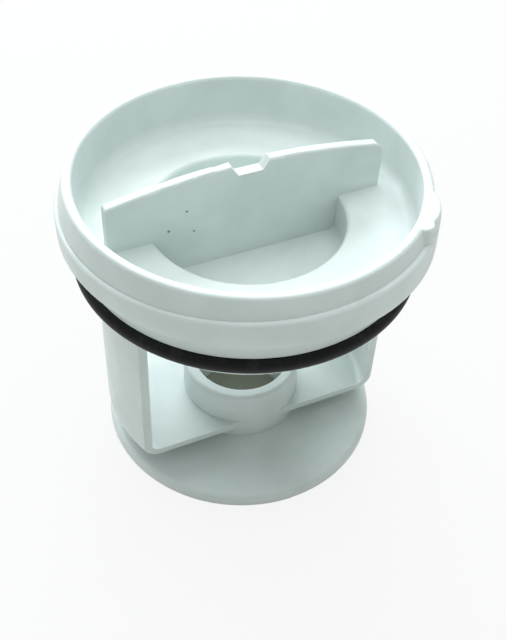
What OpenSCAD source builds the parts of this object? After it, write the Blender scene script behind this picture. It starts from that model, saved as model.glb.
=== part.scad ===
// Filter insert of a washing machine's drain pump.
// A screw-in head with a finger bar in a round cup, a sealing ring in a groove below it, and two
// posts that turn inward into a cross strap. The strap carries a collar tube that ends in a round disc.
// Millimetres. The underside of the end disc is z = 0, +Z points out of the cup, the bar runs along X.

/* [Overall] */
// Height from the underside of the end disc to the top of the rim
total_h = 71.6; // [60:0.1:90]
// Outside diameter of the rim at its top
rim_d = 75.6; // [62:0.1:95]

/* [Cup] */
// Width of the rim
rim_w = 2.2; // [1.6:0.1:3]
// Rounding of the rim's two top edges
rim_round = 0.8; // [0.3:0.1:1]
// How much further out the wall stands where the screw ridge begins
wall_flare = 1.1; // [0.2:0.1:1.4]
// Depth of the cup from the rim to its floor
cup_depth = 11.4; // [9:0.1:14]
// Fillet between the cup's wall and its floor
cup_fillet = 2.5; // [1:0.1:4]
// Thickness of the cup's floor and of the well's wall and floor
floor_t = 1.9; // [1.4:0.1:2.6]

/* [Finger well] */
// Diameter of the well in the cup's floor
well_d = 42.4; // [34:0.1:48]
// Depth of the well below the cup's floor
well_depth = 9.2; // [7:0.1:12]
// Rounding of the well's upper edge
well_lip = 0.9; // [0.4:0.1:1.5]
// Fillet between the well's wall and its floor
well_fillet = 1.6; // [0.5:0.1:3]

/* [Finger bar] */
// Thickness of the bar
bar_t = 2.4; // [1.8:0.1:3.6]
// Gap between each end of the bar and the cup's wall
bar_gap = 4.6; // [3.5:0.1:7]
// How far the bar's ends stay below the rim
bar_end_drop = 0.6; // [0:0.1:2]
// How far the middle of the bar stands above its ends
bar_crown = 3.2; // [2.6:0.1:5]
// Rounding along the bar's top edges
bar_round = 0.6; // [0.2:0.1:0.8]
// Corner radius at the bar's blunt end
bar_corner = 3.2; // [1:0.1:5]
// Corner radius at the bar's sharp end
bar_tip = 0.8; // [0.4:0.1:3]
// Width of the notch's floor in the middle of the bar
notch_w = 5.4; // [3:0.1:9]
// Depth of the notch
notch_d = 2.3; // [1:0.1:2.6]
// Run of each slanted side of the notch
notch_slope = 1.6; // [0.4:0.1:2.5]

/* [Screw ridge] */
// How far the ridge stands out from the rim
ridge_out = 2.0; // [1.6:0.1:2.6]
// Height from the rim's top down to the ridge's top, in the middle of its run
ridge_drop = 4.9; // [4:0.1:6]
// Height of the ridge
ridge_h = 5.6; // [4:0.1:6]
// Rise of the ridge's upper side from the far end to the lug, in degrees
ridge_tilt = 1.65; // [0:0.05:2.5]
// Rounding of the ridge's upper edge
ridge_round = 0.8; // [0.3:0.1:1]
// Direction of the ridge's highest point
ridge_high_a = -41; // [-60:1:-20]
// Where the plain stretch of wall without a ridge begins
plain_from_a = -31; // [-35:1:-25]
// Where the plain stretch of wall ends
plain_to_a = 84; // [40:1:120]

/* [Lug] */
// Direction of the lug at the start of the ridge
lug_a = -41.5; // [-44:0.5:-39]
// How far the lug stands out from the rim
lug_out = 1.7; // [1:0.1:2]
// Radius of the lug's bulge
lug_r = 9.7; // [8:0.1:12]
// Radius of the lug's front corner
lug_corner_r = 2.2; // [1.2:0.1:3]

/* [Neck and groove] */
// How far the neck lies inside the rim's outer face
neck_in = 1.9; // [1.2:0.1:3]
// Thickness of the sealing ring
ring_t = 3.55; // [2.8:0.05:4.4]
// Height from the rim's top down to the middle of the ring
ring_drop = 19.4; // [18.5:0.1:22]
// Depth of the groove from the neck's face
groove_d = 2.15; // [1.6:0.05:2.8]
// Space between the ring and the groove's walls, above and below
ring_side_gap = 0.2; // [0.05:0.05:0.5]
// Space between the ring and the groove's floor
ring_seat = 0.03; // [0:0.01:0.1]
// Height of the lower groove flange
flange_h = 1.5; // [1:0.1:3]
// How far the lower groove flange stays inside the neck's face
flange_in = 1.1; // [0.4:0.1:1.5]

/* [Posts and strap] */
// How far the posts' outer face lies inside the rim's outer face
body_in = 5.3; // [4.4:0.1:6.5]
// Thickness of the posts
post_t = 1.8; // [1.3:0.1:2.6]
// Width of the posts and of the strap between them
band_w = 26; // [20:0.1:34]
// Outer bend radius where a post turns into the strap
bend_r = 3.8; // [3:0.1:6]
// Thickness of the strap
strap_t = 1.7; // [1.2:0.1:2.5]
// Gap between the strap and the end disc
strap_gap = 3.6; // [2:0.1:6]

/* [Collar and end disc] */
// Diameter of the hole through the collar and the disc
bore_d = 22.3; // [16:0.1:30]
// Wall thickness of the collar
collar_t = 2.85; // [1.8:0.05:4]
// How far the collar stands above the strap
collar_h = 8.4; // [4:0.1:14]
// Rounding of the collar's outer top edge
collar_round = 1.2; // [0.3:0.1:1.5]
// Thickness of the end disc
disc_t = 2.7; // [1.8:0.1:4]
// Rounding of the disc's upper edge
disc_round = 1.3; // [0.3:0.1:1.5]

/* [Hidden] */
$fn = 144;
eps = 0.4;
rim_r = rim_d / 2;
cup_r = rim_r - rim_w;
wall_r = rim_r + wall_flare;
ridge_r = rim_r + ridge_out;
neck_r = rim_r - neck_in;
groove_r = neck_r - groove_d;
flange_r = neck_r - flange_in;
body_r = rim_r - body_in;
post_r = body_r - post_t;
bore_r = bore_d / 2;
collar_r = bore_r + collar_t;
well_r = well_d / 2;
// Heights above the underside of the end disc
strap_z = disc_t + strap_gap;
strap_top_z = strap_z + strap_t;
collar_top_z = strap_top_z + collar_h;
cup_floor_z = total_h - cup_depth;
well_floor_z = cup_floor_z - well_depth;
ridge_top_z = total_h - ridge_drop;
ridge_low_z = ridge_top_z - ridge_h;
ring_z = total_h - ring_drop;
ring_mid_r = groove_r + ring_seat + ring_t / 2;
groove_h = ring_t + 2 * ring_side_gap;
groove_low_z = ring_z - groove_h / 2;
flange_low_z = groove_low_z - flange_h;
window_top_z = flange_low_z - (flange_r - body_r) - 0.6;
bar_half = cup_r - bar_gap;
bar_end_z = total_h - bar_end_drop;
bar_top_z = bar_end_z + bar_crown;
crown_r = (bar_half * bar_half + bar_crown * bar_crown) / (2 * bar_crown);
notch_z = bar_top_z - notch_d;

// Height of the bar's crowned top edge at x
function crown_z(x) = bar_top_z - crown_r + sqrt(crown_r * crown_r - x * x);

// Fills an inside corner at the origin, opening towards +X and +Y
module corner_fill(r) {
  difference() {
    square([r, r]);
    translate([r, r]) circle(r);
  }
}

// Rounds off an outside corner at the origin whose body lies towards -X and -Y
module corner_cut(r) {
  rotate([0, 0, 180])
    difference() {
      translate([-1, -1]) square([r + 1, r + 1]);
      translate([r, r]) circle(r);
    }
}

// Outside of the head and neck, solid up to the axis
module head_outside() {
  rotate_extrude()
    difference() {
      polygon([
        [0, total_h],
        [rim_r, total_h],
        [rim_r, total_h - rim_round],
        [wall_r, ridge_top_z],
        [wall_r, ridge_low_z],
        [neck_r + 0.6, ridge_low_z - 0.4],
        [neck_r, ridge_low_z - 1],
        [neck_r, groove_low_z],
        [flange_r, groove_low_z],
        [flange_r, flange_low_z],
        [body_r, flange_low_z - (flange_r - body_r)],
        [body_r, window_top_z],
        [0, window_top_z]
      ]);
      translate([rim_r, total_h]) corner_cut(rim_round);
    }
}

// Ring-shaped screw ridge whose upper side climbs towards the lug, on all but the plain stretch
module screw_ridge() {
  difference() {
    translate([0, 0, ridge_top_z])
      rotate([0, 0, ridge_high_a])
        rotate([0, -ridge_tilt, 0])
          rotate_extrude()
            difference() {
              translate([post_r, -ridge_h - 3]) square([ridge_r - post_r, ridge_h + 3]);
              translate([ridge_r, 0]) corner_cut(ridge_round);
            }
    translate([0, 0, ridge_low_z - 10]) cylinder(r = ridge_r + 5, h = 10);
    translate([0, 0, ridge_low_z - 10])
      linear_extrude(ridge_h + 20)
        polygon([
          [0, 0],
          [60 * cos(plain_from_a), 60 * sin(plain_from_a)],
          [90 * cos((plain_from_a + plain_to_a) / 2), 90 * sin((plain_from_a + plain_to_a) / 2)],
          [60 * cos(plain_to_a), 60 * sin(plain_to_a)]
        ]);
  }
}

// Upright lug at the start of the ridge, its top flush with the rim
module lug() {
  bulge_r = lug_r;
  rotate([0, 0, lug_a])
    translate([rim_r + lug_out - bulge_r, 0, ridge_low_z])
      rotate_extrude()
        difference() {
          square([bulge_r, total_h - ridge_low_z]);
          translate([bulge_r, total_h - ridge_low_z]) corner_cut(0.5);
        }
  rotate([0, 0, lug_a - 7])
    translate([rim_r + lug_out - lug_corner_r, 0, ridge_low_z])
      rotate_extrude()
        difference() {
          square([lug_corner_r, total_h - ridge_low_z]);
          translate([lug_corner_r, total_h - ridge_low_z]) corner_cut(0.5);
        }
}

// Space inside the cup and the finger well
module cup_space() {
  rotate_extrude() {
    difference() {
      translate([0, cup_floor_z]) square([cup_r, cup_depth + 6]);
      translate([cup_r, cup_floor_z]) mirror([1, 0]) corner_fill(cup_fillet);
    }
    difference() {
      translate([0, well_floor_z]) square([well_r, well_depth + 1]);
      translate([well_r, well_floor_z]) mirror([1, 0]) corner_fill(well_fillet);
    }
    translate([well_r, cup_floor_z - well_lip])
      difference() {
        translate([-0.01, 0]) square([well_lip + 0.01, well_lip + 0.01]);
        translate([well_lip, 0]) circle(well_lip);
      }
    translate([cup_r, total_h])
      difference() {
        translate([-0.01, -rim_round]) square([rim_round + 0.01, rim_round + 1]);
        translate([rim_round, -rim_round]) circle(rim_round);
      }
  }
}

// Space under the cup's floor, around the well
module under_space() {
  difference() {
    translate([0, 0, window_top_z - 1])
      cylinder(r = post_r, h = cup_floor_z - floor_t - window_top_z + 1);
    translate([0, 0, well_floor_z - floor_t])
      cylinder(r = well_r + floor_t, h = cup_floor_z - well_floor_z + 2 * floor_t);
  }
}

module ring_groove() {
  translate([0, 0, groove_low_z])
    difference() {
      cylinder(r = ridge_r + 2, h = groove_h);
      translate([0, 0, -1]) cylinder(r = groove_r, h = groove_h + 2);
    }
}

// Two posts and the strap between them: a thin-walled cup cut to the width of the band
module stirrup() {
  intersection() {
    rotate_extrude() {
      translate([post_r, strap_z + bend_r]) square([post_t, window_top_z - strap_z - bend_r + eps]);
      translate([0, strap_z]) square([body_r - bend_r, strap_t]);
      translate([body_r - bend_r, strap_z + bend_r])
        intersection() {
          difference() {
            circle(bend_r);
            circle(bend_r - strap_t);
          }
          translate([-0.001, -bend_r]) square([bend_r, bend_r + 0.001]);
        }
    }
    translate([-body_r - 1, -band_w / 2, 0]) cube([2 * body_r + 2, band_w, total_h]);
  }
}

// Collar tube, its hole still closed
module collar() {
  rotate_extrude()
    difference() {
      square([collar_r, collar_top_z]);
      translate([collar_r, collar_top_z]) corner_cut(collar_round);
    }
}

module end_disc() {
  rotate_extrude()
    difference() {
      square([body_r, disc_t]);
      translate([body_r, disc_t]) corner_cut(disc_round);
      translate([body_r, 0]) mirror([0, 1]) corner_cut(0.4);
    }
}

// Finger bar: a slice of a large wheel, so that its top edge is crowned, standing in cup and well
module finger_bar() {
  difference() {
    intersection() {
      translate([0, 0, bar_top_z - crown_r])
        rotate([90, 0, 0])
          rotate_extrude()
            difference() {
              translate([crown_r - 40, -bar_t / 2]) square([40, bar_t]);
              translate([crown_r, bar_t / 2]) corner_cut(bar_round);
              translate([crown_r, -bar_t / 2]) mirror([0, 1]) corner_cut(bar_round);
            }
      translate([0, bar_t, 0])
        rotate([90, 0, 0])
          linear_extrude(2 * bar_t)
            difference() {
              translate([-bar_half, well_floor_z - eps])
                square([2 * bar_half, bar_top_z - well_floor_z + 1]);
              translate([bar_half, crown_z(bar_half - bar_corner)]) corner_cut(bar_corner);
              translate([-bar_half, crown_z(bar_half - bar_tip)]) mirror([1, 0]) corner_cut(bar_tip);
            }
      union() {
        translate([0, 0, cup_floor_z - eps]) cylinder(r = cup_r, h = bar_top_z);
        translate([0, 0, well_floor_z - eps]) cylinder(r = well_r + eps, h = bar_top_z);
      }
    }
    translate([0, bar_t, 0])
      rotate([90, 0, 0])
        linear_extrude(2 * bar_t)
          polygon([
            [-notch_w / 2, notch_z],
            [notch_w / 2, notch_z],
            [notch_w / 2 + 2 * notch_slope, notch_z + 2 * notch_d],
            [-notch_w / 2 - 2 * notch_slope, notch_z + 2 * notch_d]
          ]);
  }
}

module filter_body() {
  color([0.86, 0.89, 0.88]) {
    difference() {
      union() {
        head_outside();
        screw_ridge();
        lug();
      }
      cup_space();
      under_space();
      ring_groove();
    }
    finger_bar();
    difference() {
      union() {
        stirrup();
        collar();
        end_disc();
      }
      translate([0, 0, -1]) cylinder(r = bore_r, h = collar_top_z + 2);
    }
  }
}

module sealing_ring() {
  color([0.03, 0.03, 0.03])
    translate([0, 0, ring_z])
      rotate_extrude() translate([ring_mid_r, 0]) circle(ring_t / 2);
}

filter_body();
sealing_ring();
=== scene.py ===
import math

import bpy
from mathutils import Matrix, Vector

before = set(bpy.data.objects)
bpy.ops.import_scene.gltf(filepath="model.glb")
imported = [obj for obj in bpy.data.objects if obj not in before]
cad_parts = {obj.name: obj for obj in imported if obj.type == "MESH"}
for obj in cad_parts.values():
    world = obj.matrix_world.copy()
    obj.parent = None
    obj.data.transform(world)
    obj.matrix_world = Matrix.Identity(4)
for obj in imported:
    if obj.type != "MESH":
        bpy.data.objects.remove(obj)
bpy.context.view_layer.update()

MM = 0.001

# ---------------------------------------------------------------- camera
# The photograph looks down into the cup from the front, with the finger bar turned to the right.
# It was taken close by with a normal lens, so the head looks large and the end disc small.
bar_turn = math.radians(-25.5)
camera_distance = 247.1 * MM
camera_height_angle = math.radians(49.8)
camera_heading = math.radians(0.88)
camera_pitch = math.radians(45.1)
camera_roll = math.radians(2.97)
photo_focal_px, photo_long_side_px = 963.0, 640.0

view_right = Vector((math.cos(bar_turn), math.sin(bar_turn), 0))
view_away = Vector((-math.sin(bar_turn), math.cos(bar_turn), 0))
view_up = Vector((0, 0, 1))


def seen_from_camera(right, away, up):
    """A point given in millimetres to the photographer's right, away from them, and up."""
    return (view_right * right + view_away * away + view_up * up) * MM


look = (
    view_right * math.sin(camera_heading) * math.cos(camera_pitch)
    + view_away * math.cos(camera_heading) * math.cos(camera_pitch)
    - view_up * math.sin(camera_pitch)
)
side = view_right * math.cos(camera_heading) - view_away * math.sin(camera_heading)
top = side.cross(look)
rolled_side = side * math.cos(camera_roll) + top * math.sin(camera_roll)
rolled_top = top * math.cos(camera_roll) - side * math.sin(camera_roll)
camera_data = bpy.data.cameras.new("photo_camera")
camera_data.sensor_width = 36.0
camera_data.lens = 36.0 * photo_focal_px / photo_long_side_px
camera_data.clip_start, camera_data.clip_end = 0.01, 20.0
camera = bpy.data.objects.new("photo_camera", camera_data)
bpy.context.scene.collection.objects.link(camera)
turned = Matrix((rolled_side, rolled_top, -look)).transposed().to_4x4()
stand = (
    view_up * math.sin(camera_height_angle) - view_away * math.cos(camera_height_angle)
) * camera_distance
camera.matrix_world = Matrix.Translation(stand) @ turned
bpy.context.scene.camera = camera

# ---------------------------------------------------------------- filter body
# The head, bar, neck, posts, strap, collar and end disc are one moulding of natural polypropylene,
# milky and a little translucent, with a satin face, fine flow mottling and specks from use.
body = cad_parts["filter_body"]


class Value:
    """One output of a material's nodes, so that shader maths reads as Python."""

    def __init__(self, finish, socket):
        self.finish = finish
        self.socket = socket

    def math(self, operation, first, second):
        return self.finish.node(
            "ShaderNodeMath", {"operation": operation}, {0: first, 1: second}
        )

    def __add__(self, other):
        return self.math("ADD", self, other)

    def __radd__(self, other):
        return self.math("ADD", other, self)

    def __sub__(self, other):
        return self.math("SUBTRACT", self, other)

    def __rsub__(self, other):
        return self.math("SUBTRACT", other, self)

    def __mul__(self, other):
        return self.math("MULTIPLY", self, other)

    def __rmul__(self, other):
        return self.math("MULTIPLY", other, self)

    def __lt__(self, other):
        return self.math("LESS_THAN", self, other)

    def __gt__(self, other):
        return self.math("GREATER_THAN", self, other)


class Finish:
    """A material whose nodes are added one by one."""

    def __init__(self, name):
        self.material = bpy.data.materials.new(name)
        self.material.use_nodes = True
        self.tree = self.material.node_tree
        self.tree.nodes.clear()

    def node(self, kind, settings=None, inputs=None, output=0):
        made = self.tree.nodes.new(kind)
        for name, value in (settings or {}).items():
            if name == "stops":
                ramp = made.color_ramp
                while len(ramp.elements) < len(value):
                    ramp.elements.new(0.5)
                for element, (place, colour) in zip(ramp.elements, value):
                    element.position = place
                    element.color = (*colour, 1.0)
            else:
                setattr(made, name, value)
        for name, value in (inputs or {}).items():
            if isinstance(value, Value):
                self.tree.links.new(value.socket, made.inputs[name])
            else:
                made.inputs[name].default_value = value
        return Value(self, made.outputs[output]) if made.outputs else None

    def noise(self, at, scale, detail=3.0, roughness=0.5, distortion=0.0):
        return self.node(
            "ShaderNodeTexNoise",
            {},
            {
                "Vector": at,
                "Scale": scale,
                "Detail": detail,
                "Roughness": roughness,
                "Distortion": distortion,
            },
        )

    def band(self, value, low, high, out_low=0.0, out_high=1.0):
        return self.node(
            "ShaderNodeMapRange",
            {"interpolation_type": "SMOOTHSTEP"},
            {
                "Value": value,
                "From Min": low,
                "From Max": high,
                "To Min": out_low,
                "To Max": out_high,
            },
        )

    def mix(self, factor, first, second):
        return self.node(
            "ShaderNodeMix",
            {"data_type": "RGBA"},
            {0: factor, 6: first, 7: second},
            output=2,
        )

    def near(self, at, centre, radius, soft):
        """1 within radius of a point, fading to 0 over soft."""
        away = self.node(
            "ShaderNodeVectorMath",
            {"operation": "DISTANCE"},
            {0: at, 1: centre},
            output="Value",
        )
        return self.band(away, radius, radius + soft, 1.0, 0.0)


milk_white = (0.74, 0.80, 0.79, 1)
milk_shade = (0.67, 0.735, 0.715, 1)
speck_brown = (0.10, 0.085, 0.07, 1)

plastic = Finish("milky_polypropylene")
where = plastic.node("ShaderNodeTexCoord", output="Object")
clouds = plastic.noise(where, 55.0, 4.0, 0.55, 0.4)
flow = plastic.noise(where, 260.0, 3.0, 0.6)
pores = plastic.noise(where, 2600.0, 2.0, 0.6)
tint = plastic.band(clouds, 0.35, 0.68)
colour = plastic.mix(tint, milk_white, milk_shade)

# Three dark specks of dirt, each at its own place, on the bar
specks = [
    ((-14.0, -1.2, 66.0), 0.22),
    ((-12.5, -1.2, 60.5), 0.20),
    ((-18.0, -1.2, 62.0), 0.26),
]
speck_mask = 0.0
for centre, radius in specks:
    spot = plastic.near(
        where, tuple(v * MM for v in centre), radius * MM, radius * 0.6 * MM
    )
    speck_mask = spot + speck_mask
colour = plastic.mix(speck_mask * 0.75, colour, speck_brown)

roughness = 0.34 + 0.16 * plastic.band(flow, 0.3, 0.7)
height = pores * 0.35 + flow * 0.65
normal = plastic.node(
    "ShaderNodeBump",
    {},
    {"Strength": 0.10, "Distance": 0.0002, "Height": height},
)
shader = plastic.node(
    "ShaderNodeBsdfPrincipled",
    {},
    {
        "Base Color": colour,
        "Roughness": roughness,
        "IOR": 1.49,
        "Subsurface Weight": 0.25,
        "Subsurface Radius": (1.0, 1.0, 0.95),
        "Subsurface Scale": 0.0016,
        "Normal": normal,
    },
)
plastic.node("ShaderNodeOutputMaterial", {}, {"Surface": shader})
body.data.materials.clear()
body.data.materials.append(plastic.material)

# ---------------------------------------------------------------- sealing ring
# The ring is black rubber, moulded as a torus and stretched into the groove under the head.
# Its skin is matt and picks up a little grey dust.
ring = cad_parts["sealing_ring"]
rubber_black = (0.006, 0.006, 0.0065, 1)
rubber_dust = (0.03, 0.03, 0.029, 1)

rubber = Finish("black_rubber")
where = rubber.node("ShaderNodeTexCoord", output="Object")
dust = rubber.band(rubber.noise(where, 320.0, 4.0, 0.6), 0.5, 0.8)
skin = rubber.noise(where, 1800.0, 2.0, 0.6)
shader = rubber.node(
    "ShaderNodeBsdfPrincipled",
    {},
    {
        "Base Color": rubber.mix(dust, rubber_black, rubber_dust),
        "Roughness": 0.5 + 0.2 * dust,
        "Specular IOR Level": 0.25,
        "Normal": rubber.node(
            "ShaderNodeBump",
            {},
            {"Strength": 0.2, "Distance": 0.0001, "Height": skin},
        ),
    },
)
rubber.node("ShaderNodeOutputMaterial", {}, {"Surface": shader})
ring.data.materials.clear()
ring.data.materials.append(rubber.material)

# ---------------------------------------------------------------- floor and light
# A white table under an even white sky, so bright in the photograph that it shows almost no shadow.
# The light comes mostly from behind and above, which leaves the upright faces in front greyer.
floor_half = 1.5
floor_mesh = bpy.data.meshes.new("floor")
floor_mesh.from_pydata(
    [
        (-floor_half, -floor_half, 0),
        (floor_half, -floor_half, 0),
        (floor_half, floor_half, 0),
        (-floor_half, floor_half, 0),
    ],
    [],
    [(0, 1, 2, 3)],
)
floor = bpy.data.objects.new("floor", floor_mesh)
floor.location.z = -0.0002
bpy.context.scene.collection.objects.link(floor)

table = Finish("white_table")
where = table.node("ShaderNodeTexCoord", output="Object")
# Inside the disc's radius the table is a dull brownish grey rather than glowing white: painted
# shade for the dark floor seen down the bore.
under_disc = table.near(where, (0.0, 0.0, 0.0), 28 * MM, 3 * MM)
lit = table.node("ShaderNodeBsdfDiffuse", {}, {"Color": (0.75, 0.76, 0.75, 1)})
painted_bore_shade = table.node("ShaderNodeBsdfDiffuse", {}, {"Color": (0.42, 0.40, 0.33, 1)})
glow = table.node(
    "ShaderNodeEmission", {}, {"Color": (0.97, 0.97, 0.97, 1), "Strength": 1.0}
)
rays = table.node("ShaderNodeLightPath", output="Is Camera Ray")
gloss = table.node("ShaderNodeLightPath", output="Is Glossy Ray")
through = table.node("ShaderNodeLightPath", output="Is Transmission Ray")
seen = (rays + gloss + through) * 0.9
paper = table.node("ShaderNodeMixShader", {}, {0: seen, 1: lit, 2: glow})
patch = table.node("ShaderNodeMixShader", {}, {0: under_disc, 1: paper, 2: painted_bore_shade})
table.node("ShaderNodeOutputMaterial", {}, {"Surface": patch})
floor.data.materials.append(table.material)

world = bpy.data.worlds.new("sky")
bpy.context.scene.world = world
world.use_nodes = True
sky = world.node_tree
sky.nodes.clear()
sky_light = sky.nodes.new("ShaderNodeBackground")
sky_light.inputs["Color"].default_value = (0.93, 0.97, 0.94, 1)
sky_light.inputs["Strength"].default_value = 0.45
sky_seen = sky.nodes.new("ShaderNodeBackground")
sky_seen.inputs["Color"].default_value = (0.97, 0.97, 0.97, 1)
sky_seen.inputs["Strength"].default_value = 1.0
sky_path = sky.nodes.new("ShaderNodeLightPath")
sky_mix = sky.nodes.new("ShaderNodeMixShader")
sky_out = sky.nodes.new("ShaderNodeOutputWorld")
sky.links.new(sky_path.outputs["Is Camera Ray"], sky_mix.inputs[0])
sky.links.new(sky_light.outputs[0], sky_mix.inputs[1])
sky.links.new(sky_seen.outputs[0], sky_mix.inputs[2])
sky.links.new(sky_mix.outputs[0], sky_out.inputs["Surface"])


def softbox(name, place, aim, width, height, watts, colour):
    """A rectangular lamp at one point, facing another."""
    lamp = bpy.data.lights.new(name, "AREA")
    lamp.shape = "RECTANGLE"
    lamp.size = width
    lamp.size_y = height
    lamp.energy = watts
    lamp.color = colour
    holder = bpy.data.objects.new(name, lamp)
    holder.location = place
    holder.rotation_mode = "QUATERNION"
    holder.rotation_quaternion = (aim - place).to_track_quat("-Z", "Y")
    bpy.context.scene.collection.objects.link(holder)


middle = seen_from_camera(0, 0, 40)
softbox(
    "back_window",
    seen_from_camera(-250, 700, 450),
    middle,
    0.9,
    0.6,
    9.0,
    (0.90, 0.97, 1.0),
)
softbox(
    "ceiling",
    seen_from_camera(0, 150, 900),
    middle,
    0.8,
    0.8,
    5.0,
    (0.92, 0.98, 1.0),
)

bpy.context.scene.view_settings.view_transform = "Standard"
